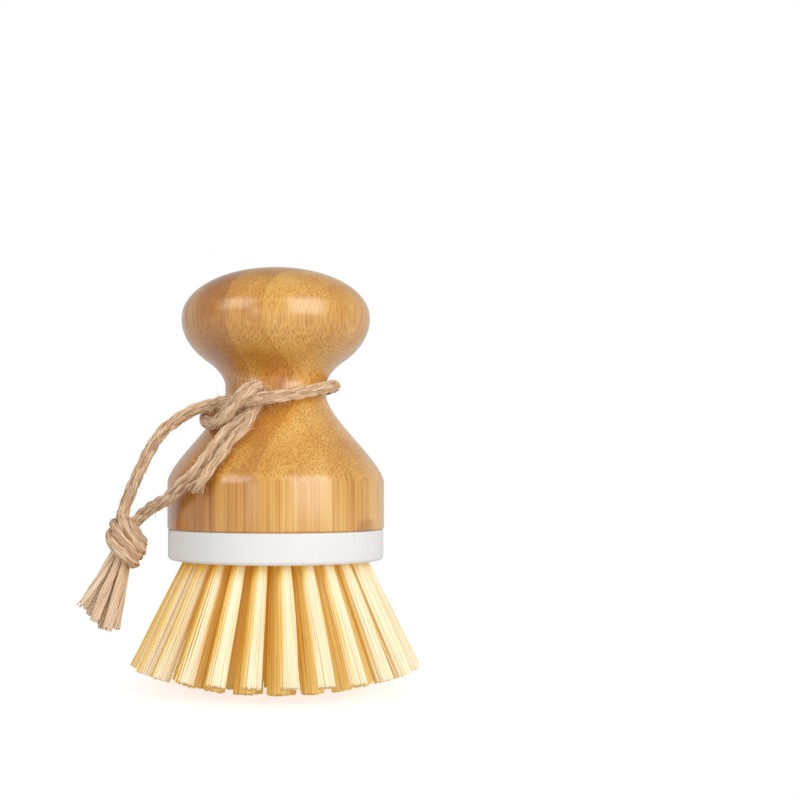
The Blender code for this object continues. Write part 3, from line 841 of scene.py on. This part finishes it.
bamboo, tree, shader = new_material(
    "bamboo", roughness=0.5, specular_ior_level=0.4, coat_weight=1.0, coat_roughness=0.23,
    coat_ior=1.75)
place = coordinates(tree)
turned = mapping(place, rotation=(0, 0, SLAT_TURN))
past_corner = [minus(axes(turned)[name], corner) for name, corner in zip("XY", SLAT_CORNER)]
counts = [plus(math_node("DIVIDE", past, size), SLAT_COUNT_START)
          for past, size in zip(past_corner, SLAT_SIZES)]
in_slat = [math_node("FRACT", count) for count in counts]
slat_cell = after("CombineXYZ", {
    name: math_node("FLOOR", count) for name, count in zip("XY", counts)})[0]
slat_random = after("TexWhiteNoise", {"Vector": slat_cell}, noise_dimensions="3D")["Value"]

front_left = times(*(below(past, 0.0) for past in past_corner))
back_right = times(above(past_corner[0], SLAT_SIZES[0]), above(past_corner[1], 0.0))
far_left = below(past_corner[0], -SLAT_SIZES[0])
dark_slat = plus(front_left, plus(
    times(back_right, BACK_RIGHT_DARK), times(far_left, FAR_LEFT_DARK)))
glue_lines = []
for place_in, size in zip(in_slat, SLAT_SIZES):
    edge = math_node("ABSOLUTE", minus(place_in, 0.5))
    glue_lines.append(math_node("MULTIPLY", minus(edge, 0.5 - GLUE_WIDTH / size),
                                0.5 * size / GLUE_WIDTH, clamp=True))
glue = larger(*glue_lines)
print("slats:", [round(size / MM, 1) for size in SLAT_SIZES], "mm")

# %% [markdown]
# Bamboo has no rings. Its cut end shows dark dots, the bundles that carry water, and its
# side shows the same bundles as upright streaks. They too are cells in the plan view, drawn
# out along the height, so the turned shape cuts dots on the cone and under the knob and
# streaks on the straight base. Cut square to the stalk the bundles are dark, and along it
# they are paler, so the surface's own slope sets how much they show.
# %% Bundles
BUNDLE_SPACING = 0.57 * MM
BUNDLE_SIZE = 0.33  # of the spacing
SIZE_RANDOM, SIZE_IN_SLAT = 0.12, 0.06  # what chance and the place in a slat add to it
BUNDLE_EDGE = 4.0  # how sharply a bundle ends
BUNDLE_PALEST = 0.5
BUNDLE_SWAY = 0.35  # of the spacing: how far a bundle wanders on its way up
SWAY_HEIGHT = 90.0  # how often in a metre
LEAN_START = 74 * MM  # up in the knob the stalk leans a little towards the front,
FORWARD_LEAN = 0.24  # so its streaks show just below the widest line
ALONG_THE_STALK = 0.55  # how much of a bundle shows on an upright wall

past_neck = larger(minus(axes(place)["Z"], LEAN_START), 0.0)
leaning = after("CombineXYZ", {"Y": times(past_neck, FORWARD_LEAN)})["Vector"]
stalk = mapping(vector_math("ADD", place, leaning), rotation=(0, 0, SLAT_TURN))
plan = vector_math("MULTIPLY", stalk, (
    1 / BUNDLE_SPACING, 1 / BUNDLE_SPACING, SWAY_HEIGHT))
sway = noise(plan, scale=0.6, detail=1.0, kind="Color")
swayed = vector_math("MULTIPLY_ADD", sway, (BUNDLE_SWAY, BUNDLE_SWAY, 0), plan)
bundles = after("TexVoronoi", {"Vector": swayed, "Scale": 1.0, "Randomness": 0.6},
                feature="F1", voronoi_dimensions="2D")
chance = after("SeparateColor", {"Color": bundles["Color"]})
size = plus(times(chance["Red"], SIZE_RANDOM), times(in_slat[0], SIZE_IN_SLAT), BUNDLE_SIZE)
shape = math_node("MULTIPLY", minus(size, bundles["Distance"]), BUNDLE_EDGE, clamp=True)
slope = math_node("ABSOLUTE", axes(coordinates(tree, "Normal"))["Z"])
cut_square = remap(slope, 0.0, 0.5, ALONG_THE_STALK, 1.0)
bundle = times(shape, cut_square, plus(
    times(chance["Green"], 1 - BUNDLE_PALEST), BUNDLE_PALEST))
print(f"bundles in a square centimetre: {(10 * MM / BUNDLE_SPACING) ** 2:.0f}")

# %% [markdown]
# Between the bundles the wood has a fine grain and soft clouds, and the upright wall shows
# streaks of its own. A small dark patch at the right foot is what is left of a node, a
# joint of the stalk. All of it is one tone, which a ramp turns into colours.
# %% Tone and colours of the bamboo
GRAIN_SCALE, CLOUD_SCALE, STREAK_SCALE = (1600, 1600, 30), (130, 130, 22), (480, 480, 7)
GRAIN, CLOUDS, WALL_STREAKS = 0.50, 0.54, 0.42
SLAT_STEPS, DARK_SLAT, DARK_MARK = 0.10, 0.19, 0.20
NODE_MARK_CENTRE = (20.9 * MM, -15.4 * MM, 38.0 * MM)  # where a stalk's node was cut
NODE_MARK_SIZE = (3.6 * MM, 6.0 * MM, 3.4 * MM)
MARK_EDGE = 4.0  # how sharply the mark ends
BUNDLE_SHARE, GLUE_SHARE = 0.72, 0.35  # how much of their own colour they show

grain = noise(mapping(turned, scale=GRAIN_SCALE), detail=4.0, roughness=0.6)
cloud = noise(mapping(turned, scale=CLOUD_SCALE))
streak = noise(mapping(turned, scale=STREAK_SCALE))
wall_streaks = times(minus(streak, 0.5), remap(slope, 0.05, 0.4, WALL_STREAKS, 0.0))
from_mark = vector_math("MULTIPLY", vector_math("SUBTRACT", place, NODE_MARK_CENTRE),
                        [1 / size for size in NODE_MARK_SIZE])
mark = math_node("MULTIPLY", minus(1.0, vector_math("LENGTH", from_mark)), MARK_EDGE,
                 clamp=True)
slat_tone = minus(times(slat_random, SLAT_STEPS),
                  plus(times(dark_slat, DARK_SLAT), times(mark, DARK_MARK)))
tone = plus(plus(slat_tone, wall_streaks), plus(times(cloud, CLOUDS), times(grain, GRAIN)))
wood = ramp(tone, [
    (0.20, linear(188, 118, 42)),
    (0.42, linear(223, 158, 62)),
    (0.60, linear(240, 183, 88)),
    (0.82, linear(247, 205, 120)),
])
wood = mix_colour(times(bundle, BUNDLE_SHARE), wood, linear(170, 100, 33))
wood = mix_colour(times(glue, GLUE_SHARE), wood, linear(160, 100, 46))
link(wood, shader, "Base Color")
add_bump(shader, minus(times(grain, 0.3), bundle), strength=0.12, distance=0.05 * MM)
print("bamboo has", len(tree.nodes), "nodes")

# %% [markdown]
# The handle's width, foot and top come from the model's box, and the neck and knob have
# sizes of their own. The curves are the same ones that the model follows.
# %% Handle
handle_low, handle_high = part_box("handle")
HANDLE_RADIUS = (handle_high.x - handle_low.x) / 2
HANDLE_FOOT, HANDLE_TOP = handle_low.z, handle_high.z
HANDLE_EDGE_RADIUS = 0.5 * MM
SHOULDER_HEIGHT = HANDLE_FOOT + 10.8 * MM
FLARE_HEIGHT = 21.5 * MM
NECK_RADIUS = 12.1 * MM
NECK_FOOT = SHOULDER_HEIGHT + FLARE_HEIGHT
NECK_TOP = NECK_FOOT + 1.6 * MM
KNOB_RADIUS = 22.6 * MM
KNOB_DOME_HEIGHT = 12.05 * MM
KNOB_EQUATOR = HANDLE_TOP - KNOB_DOME_HEIGHT
KNOB_UNDERSIDE_DEPTH = 14.6 * MM
KNOB_JOIN_RADIUS = 16.6 * MM
DOME_POWER = 2.06
FLARE_TOP_PULL, FLARE_FOOT_PULL = 0.274, 0.237  # of the flare's height
DOME_STEPS, UNDERSIDE_STEPS, NECK_STEPS, FLARE_STEPS, EDGE_STEPS = 40, 24, 14, 32, 5
BORE_RADIUS = 7.8 * MM
BORE_DEPTH = 8.0 * MM


def knob_outline():
    """The dome down from the top, and the underside down to where it joins the neck."""
    outline = [(0, HANDLE_TOP)]
    for step in range(1, DOME_STEPS + 1):
        side = math.sin(math.pi / 2 * step / DOME_STEPS)
        share = max(0.0, 1 - side ** DOME_POWER) ** (1 / DOME_POWER)
        outline.append((KNOB_RADIUS * side, KNOB_EQUATOR + KNOB_DOME_HEIGHT * share))
    for step in range(1, UNDERSIDE_STEPS + 1):
        angle = math.acos(KNOB_JOIN_RADIUS / KNOB_RADIUS) * step / UNDERSIDE_STEPS
        outline.append((KNOB_RADIUS * math.cos(angle),
                        KNOB_EQUATOR - KNOB_UNDERSIDE_DEPTH * math.sin(angle)))
    return outline


def handle_outline():
    outline = knob_outline()
    slope = KNOB_UNDERSIDE_DEPTH / KNOB_RADIUS / math.tan(
        math.acos(KNOB_JOIN_RADIUS / KNOB_RADIUS))
    join = outline[-1]
    corner = (NECK_RADIUS, join[1] - (join[0] - NECK_RADIUS) * slope)
    outline += bezier([join, corner, (NECK_RADIUS, NECK_TOP)], NECK_STEPS)
    outline += [(NECK_RADIUS, NECK_FOOT)]
    outline += bezier([
        (NECK_RADIUS, NECK_FOOT), (NECK_RADIUS, NECK_FOOT - FLARE_TOP_PULL * FLARE_HEIGHT),
        (HANDLE_RADIUS, SHOULDER_HEIGHT + FLARE_FOOT_PULL * FLARE_HEIGHT),
        (HANDLE_RADIUS, SHOULDER_HEIGHT)], FLARE_STEPS)
    edge = (HANDLE_RADIUS, HANDLE_FOOT + HANDLE_EDGE_RADIUS)
    outline += [edge]
    outline += bezier([edge, (HANDLE_RADIUS, HANDLE_FOOT),
                       (HANDLE_RADIUS - HANDLE_EDGE_RADIUS, HANDLE_FOOT)], EDGE_STEPS)
    outline += [(BORE_RADIUS, HANDLE_FOOT), (BORE_RADIUS, HANDLE_FOOT + BORE_DEPTH),
                (0, HANDLE_FOOT + BORE_DEPTH)]
    return outline


handle = turned_piece("bamboo_handle", handle_outline(), bamboo)
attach(handle, "brush")
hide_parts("handle")
print("handle faces:", len(handle.data.polygons))

# %% [markdown]
# The block is moulded in white plastic with a satin face. It is turned finely too, and the
# blind holes for the tufts are cut by one tool that holds them all.
# %% White plastic
white_plastic, tree, shader = new_material(
    "white_plastic", roughness=0.42, specular_ior_level=0.45)
place = coordinates(tree)
white = ramp(noise(place, scale=60.0), [
    (0.3, linear(242, 241, 238)), (0.7, linear(247, 246, 244))])
link(white, shader, "Base Color")
add_bump(shader, noise(place, scale=1500.0), strength=0.1, distance=0.03 * MM)
print("white plastic has", len(tree.nodes), "nodes")

# %% [markdown]
# Tufts stand in rings round a centre tuft, and all lean out from one point high above the
# block's face, which fans them evenly. The same rule places the holes and the bristles.
# %% Seats of the tufts
BLOCK_RADIUS = 25.8 * MM
BLOCK_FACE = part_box("bristle_block")[0].z
OUTER_RING_RADIUS = BLOCK_RADIUS - 5.5 * MM
FAN_APEX = Vector((0, 0, BLOCK_FACE + 42.9 * MM))
RINGS = {  # share of the outer radius, tufts, angle of the first one
    "outer": (1.0, 25, 5.0),
    "middle": (0.667, 18, 1.5),
    "inner": (0.3, 8, 12.0),
}


def ring_seats(share, count, first_angle):
    """Place and outward lean of each tuft of a ring."""
    seats = []
    radius = OUTER_RING_RADIUS * share
    for index in range(count):
        angle = math.radians(first_angle + 360 * index / count)
        seat = Vector((radius * math.sin(angle), -radius * math.cos(angle), BLOCK_FACE))
        seats.append((seat, (seat - FAN_APEX).normalized()))
    return seats


seats = {name: ring_seats(*ring) for name, ring in RINGS.items()}
seats["inner"].append((Vector((0, 0, BLOCK_FACE)), Vector((0, 0, -1))))
print("tufts:", sum(len(ring) for ring in seats.values()))

# %% [markdown]
# The block's outline ends in the spigot that locates it in the handle's bore.
# %% Bristle block
BLOCK_TOP = BLOCK_FACE + 7.25 * MM  # glued up against the handle's foot
CORNER_RADIUS, CORNER_STEPS = 1.1 * MM, 8
RIM_BEVEL = (0.3 * MM, 0.2 * MM)  # inwards and down, at the seam
HOLE_RADIUS = 1.8 * MM
HOLE_DEPTH = 5.2 * MM
HOLE_SIDES = 20
CUT_OVERRUN = 2.0 * MM
SPIGOT_RADIUS = 7.5 * MM
SPIGOT_TOP = BLOCK_TOP + 8 * MM

corner = (BLOCK_RADIUS, BLOCK_FACE + CORNER_RADIUS)
block_outline = [
    (0, SPIGOT_TOP), (SPIGOT_RADIUS, SPIGOT_TOP), (SPIGOT_RADIUS, BLOCK_TOP),
    (BLOCK_RADIUS - RIM_BEVEL[0], BLOCK_TOP), (BLOCK_RADIUS, BLOCK_TOP - RIM_BEVEL[1]),
    corner]
block_outline += bezier([
    corner, (BLOCK_RADIUS, BLOCK_FACE), (BLOCK_RADIUS - CORNER_RADIUS, BLOCK_FACE)
], CORNER_STEPS) + [(0, BLOCK_FACE)]
block = turned_piece("white_block", block_outline, white_plastic)

# %% [markdown]
# The drills of all the holes are one mesh, so that a single cut makes them.
# %% Holes for the tufts
bm = bmesh.new()
drill_length = HOLE_DEPTH + CUT_OVERRUN
for seat, lean in sum(seats.values(), []):
    lay_down = lean.to_track_quat("Z", "Y").to_matrix().to_4x4()
    shift = Matrix.Translation((0, 0, CUT_OVERRUN - drill_length / 2))
    bmesh.ops.create_cone(
        bm, cap_ends=True, segments=HOLE_SIDES, radius1=HOLE_RADIUS, radius2=HOLE_RADIUS,
        depth=drill_length, matrix=Matrix.Translation(seat) @ lay_down @ shift)
drill = add_object("tuft_drill", mesh_from(bm, "tuft_drill"))
cut = block.modifiers.new("tuft_holes", "BOOLEAN")
cut.operation = "DIFFERENCE"
cut.object = drill
bpy.context.view_layer.update()
drilled = bpy.data.meshes.new_from_object(
    block.evaluated_get(bpy.context.evaluated_depsgraph_get()))
block.modifiers.clear()
block.data = drilled
bpy.data.objects.remove(drill)
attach(block, "brush")
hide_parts("bristle_block")
print("block faces:", len(block.data.polygons))

# %% [markdown]
# Bristles are cream filaments that let light through. Where it has passed several of them
# it turns golden. A tuft is painted pale on its lit side and golden and darker on the sides
# and in the gaps, most of all near the block: painted light and shade. An attribute on each
# filament says how far it lies to the lit side, and a faint painted glow stands for the
# light that neighbouring filaments pass on. The middle and inner rings take a copy of the
# material that is painted more golden, as shade from the outer ring.
# %% Bristle material
INNER_GLOW = 0.14
# Painted shade: the filaments are darker near the block.
ROOT_PAINTED_SHADE = ((0.06, 0.30), (-0.36, 0.0))  # of the length, and what it adds to the tone
# Painted light: the filaments are paler towards their ends, where light gets in between the
# tufts.
ENDS_PAINTED_LIGHT = ((0.6, 1.0), (0.0, 0.16))
STREAK_CONTRAST = 0.16


def bristle_material(name, deep, middle, painted_lit_colour):
    """A filament's colours, from the painted shade of a tuft to its painted lit side."""
    material, tree, shader = new_material(
        name, roughness=0.4, specular_ior_level=0.35, emission_strength=INNER_GLOW)
    # painted shade darkens the roots near the block, and painted light pales the ends
    reach = attribute(tree, "reach")
    root, ends = (remap(reach, *places, *shades, "SMOOTHSTEP")
                  for places, shades in (ROOT_PAINTED_SHADE, ENDS_PAINTED_LIGHT))
    streak = noise(attribute(tree, "lay", "Vector"), scale=1.5)
    shade = plus(attribute(tree, "tone"),
                 plus(plus(root, ends), times(streak, STREAK_CONTRAST)))
    colour = ramp(shade, [(0.05, deep), (0.42, middle), (0.80, painted_lit_colour)])
    link(colour, shader, "Base Color")
    link(colour, shader, "Emission Color")
    return material


cream_bristle = bristle_material(
    "cream_bristle", linear(226, 168, 60), linear(242, 204, 106), linear(250, 236, 204))
# The copy for the middle and inner rings is painted less pale and more golden: painted
# shade from the outer ring.
golden_bristle = bristle_material(
    "golden_bristle", linear(222, 162, 56), linear(238, 196, 90), linear(248, 220, 140))

# %% [markdown]
# A tuft is a bundle of filaments packed in its hole, so their places at the root follow
# the even spiral of a sunflower head. From there each runs almost straight to the trim,
# fanning out, with a slight bend of its own. The ends lie on a shallow dome, cut flat in
# the middle where the brush stands.
# %% Bristles
FILAMENTS = 84
FILAMENT_RADIUS = 0.235 * MM
FILAMENT_THICKNESS = (0.85, 1.12)  # of that radius
FILAMENT_POINTS = 7
BUNDLE_ROOT_RADIUS = 1.32 * MM
BUNDLE_TIP_RADII = {"outer": 2.25 * MM, "middle": 2.52 * MM, "inner": 2.7 * MM}
ROOT_DEPTH = 3.0 * MM
GOLDEN_ANGLE = 2.39996  # radians, from one seed of a sunflower to the next
STRAY, STRAY_FACTOR, STRAY_SHARE = 0.11 * MM, 6, 0.04  # one in 25 strays further
BOW = 0.12 * MM
TRIM_RADIUS = 34.6 * MM
TRIM_RISE = 6.4 * MM
TRIM_POWER = 2.1
TRIM_FLAT_CUT = 0.5 * MM
TRIM_TRIES = 8  # steps that bring a filament's end to the trim
UNEVEN_CUT = 0.004  # of a filament's length
STAND_CLEARANCE = 0.06 * MM  # a leaning filament's cut edge just meets the table


def trim_height(point):
    radius = math.hypot(point[0], point[1])
    return max(TRIM_RISE * (radius / TRIM_RADIUS) ** TRIM_POWER - TRIM_FLAT_CUT, 0)


def filament(seat, frame_turn, ring, reach, tip_radius, random):
    """One filament from its root, at a place in the bundle's ring, down to the trim."""
    root = seat + frame_turn @ (ring * BUNDLE_ROOT_RADIUS - np.array((0, 0, ROOT_DEPTH)))
    stray = random.normal(0, STRAY, 2)
    if random.random() < STRAY_SHARE:
        stray = stray * STRAY_FACTOR
    bend = frame_turn @ np.array((*random.normal(0, BOW, 2), 0))
    tip = seat + frame_turn @ (ring * tip_radius + np.array((*stray, reach)))
    for _ in range(TRIM_TRIES):
        direction = tip - root
        tip = root + direction * (root[2] - trim_height(tip)) / -direction[2]
    tip = root + (tip - root) * (1 + random.normal(0, UNEVEN_CUT))
    tip[2] = max(tip[2], STAND_CLEARANCE)
    steps = np.linspace(0, 1, FILAMENT_POINTS)[:, None]
    return root + (tip - root) * steps + bend * np.sin(math.pi * steps)


# %% [markdown]
# A filament is painted pale when it lies on the side of its tuft that faces the lamps, and
# darker and more golden on the far side: painted light and shade. For the tufts that face
# the camera that is the front right, and the tufts at the right are painted paler as a
# whole.
# %% Painted light and shade of the filaments
LAMP_PULL = np.array((2.0, -3.0, 0))
PULL_LIMIT = 0.7  # tufts that point further back than this aren't pulled
# Painted light: the tufts at the right are paler as a whole.
PAINTED_RIGHT_LIGHT = 0.28
LIT_SIDE_SHARES = (-1.0, 0.0, 0.4, 0.8)  # how far a filament lies to the lit side
# Painted light and shade: a filament's tone by how far it lies to the lit side.
PAINTED_LIT_TONES = (0.12, 0.30, 0.48, 0.84)
TONE_SPREAD = 0.12


def tuft_lines(seat, lean, tip_radius, random):
    """The filaments of one tuft, and how far each lies to the lit side, for painted light.
    """
    frame_turn = np.array(lean.to_track_quat("Z", "Y").to_matrix())
    start_turn = random.uniform(0, math.tau)
    outward = unit(np.array((lean.x, lean.y, 0)))
    to_lamps = unit(outward + LAMP_PULL * min(max(PULL_LIMIT - outward[1], 0), 1))
    lines, painted_lit_side = [], []
    for number in range(FILAMENTS):
        angle = start_turn + number * GOLDEN_ANGLE
        ring = np.array((math.cos(angle), math.sin(angle), 0)) * math.sqrt(
            (number + 0.5) / FILAMENTS)
        lines.append(filament(
            np.array(seat), frame_turn, ring, seat.z / -lean.z, tip_radius, random))
        painted_lit_side.append(float((frame_turn @ ring) @ to_lamps) + PAINTED_RIGHT_LIGHT * outward[0])
    return lines, painted_lit_side


random = np.random.default_rng(23)
# The middle and inner rings, in the shade of the outer one, take the material with painted
# shade.
for ring, slot_name, material in (
        ("outer", "cream_bristle", cream_bristle),
        ("middle", "golden_bristle", golden_bristle),
        ("inner", "golden_bristle", golden_bristle)):
    lines, tones = [], []
    for seat, lean in seats[ring]:
        tuft, painted_lit_side = tuft_lines(seat, lean, BUNDLE_TIP_RADII[ring], random)
        lines += tuft
        # a filament's tone is painted light on the lit side and painted shade on the far
        # side, with a random spread
        tones += [np.interp(lit_share, LIT_SIDE_SHARES, PAINTED_LIT_TONES)
                  + random.uniform(-TONE_SPREAD, TONE_SPREAD) for lit_share in painted_lit_side]
    radii = FILAMENT_RADIUS * random.uniform(*FILAMENT_THICKNESS, len(lines))
    piece = tubes(f"bristles_{ring}", lines, radii, material, tones)
    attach(piece, "brush")
    nodes = [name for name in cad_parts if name.startswith(f"tuft_{ring}")]
    if ring == "inner":
        nodes.append("tuft_centre")
    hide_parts(*nodes)
    print(ring, "ring:", len(lines), "filaments,", len(piece.data.polygons), "faces")
